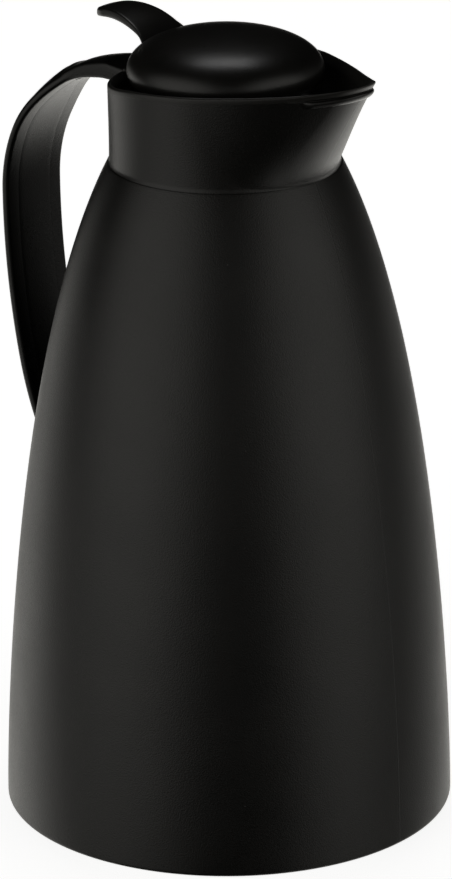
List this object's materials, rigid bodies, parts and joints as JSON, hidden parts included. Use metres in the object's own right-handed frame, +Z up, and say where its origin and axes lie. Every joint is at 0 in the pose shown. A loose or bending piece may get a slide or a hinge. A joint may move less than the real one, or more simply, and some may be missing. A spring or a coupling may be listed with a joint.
{
  "type": "vacuum carafe",
  "caption": "Insulated serving carafe with a bell-shaped body, pouring collar, strap handle and a domed lid that a thumb lever tips open.",
  "frame": {"origin": "centre of the face that the carafe stands on", "axes": "+Z up, +X towards the spout, -X towards the handle, +Y to the left of the spout"},
  "size_m": [0.1611, 0.1452, 0.2568],
  "materials": {
    "outer_casing": "satin moulded plastic with a fine grain",
    "spout_collar": "satin moulded plastic with a fine grain",
    "pouring_funnel": "satin moulded plastic",
    "hinge_pin": "ground steel",
    "collar_nut": "moulded plastic",
    "flask_outer_glass": "silvered glass",
    "flask_inner_glass": "silvered glass",
    "spacer_pads": "pressed fibre",
    "neck_gasket": "soft silicone rubber",
    "flask_cushion": "soft rubber",
    "base_cap": "moulded plastic",
    "foot_ring": "non-slip rubber",
    "handle_strap": "satin moulded plastic with a fine grain",
    "handle_liner": "satin moulded plastic",
    "handle_screw": "zinc-plated steel",
    "lid_cover": "satin moulded plastic",
    "lid_plate": "moulded plastic",
    "stopper_cup": "moulded plastic",
    "stopper_seal": "soft silicone rubber",
    "stopper_screw": "stainless steel"
  },
  "bodies": {
    "carafe": {"outer_casing": "outer_casing", "spout_collar": "spout_collar", "pouring_funnel": "pouring_funnel", "hinge_pin": "hinge_pin", "collar_nut": "collar_nut", "flask_outer_glass": "flask_outer_glass", "flask_inner_glass": "flask_inner_glass", "spacer_pads": "spacer_pads", "neck_gasket": "neck_gasket", "flask_cushion": "flask_cushion", "base_cap": "base_cap", "foot_ring": "foot_ring", "handle_strap": "handle_strap", "handle_liner": "handle_liner", "handle_screw": "handle_screw"},
    "lid": {"lid_cover": "lid_cover", "lid_plate": "lid_plate", "stopper_cup": "stopper_cup", "stopper_seal": "stopper_seal", "stopper_screw": "stopper_screw"}
  },
  "joints": [
    {"name": "lid_hinge", "type": "hinge", "parent": "carafe", "child": "lid", "pos_m": [-0.0296, 0, 0.2364], "axis": [0, -1, 0], "range_deg": [0, 34]}
  ]
}
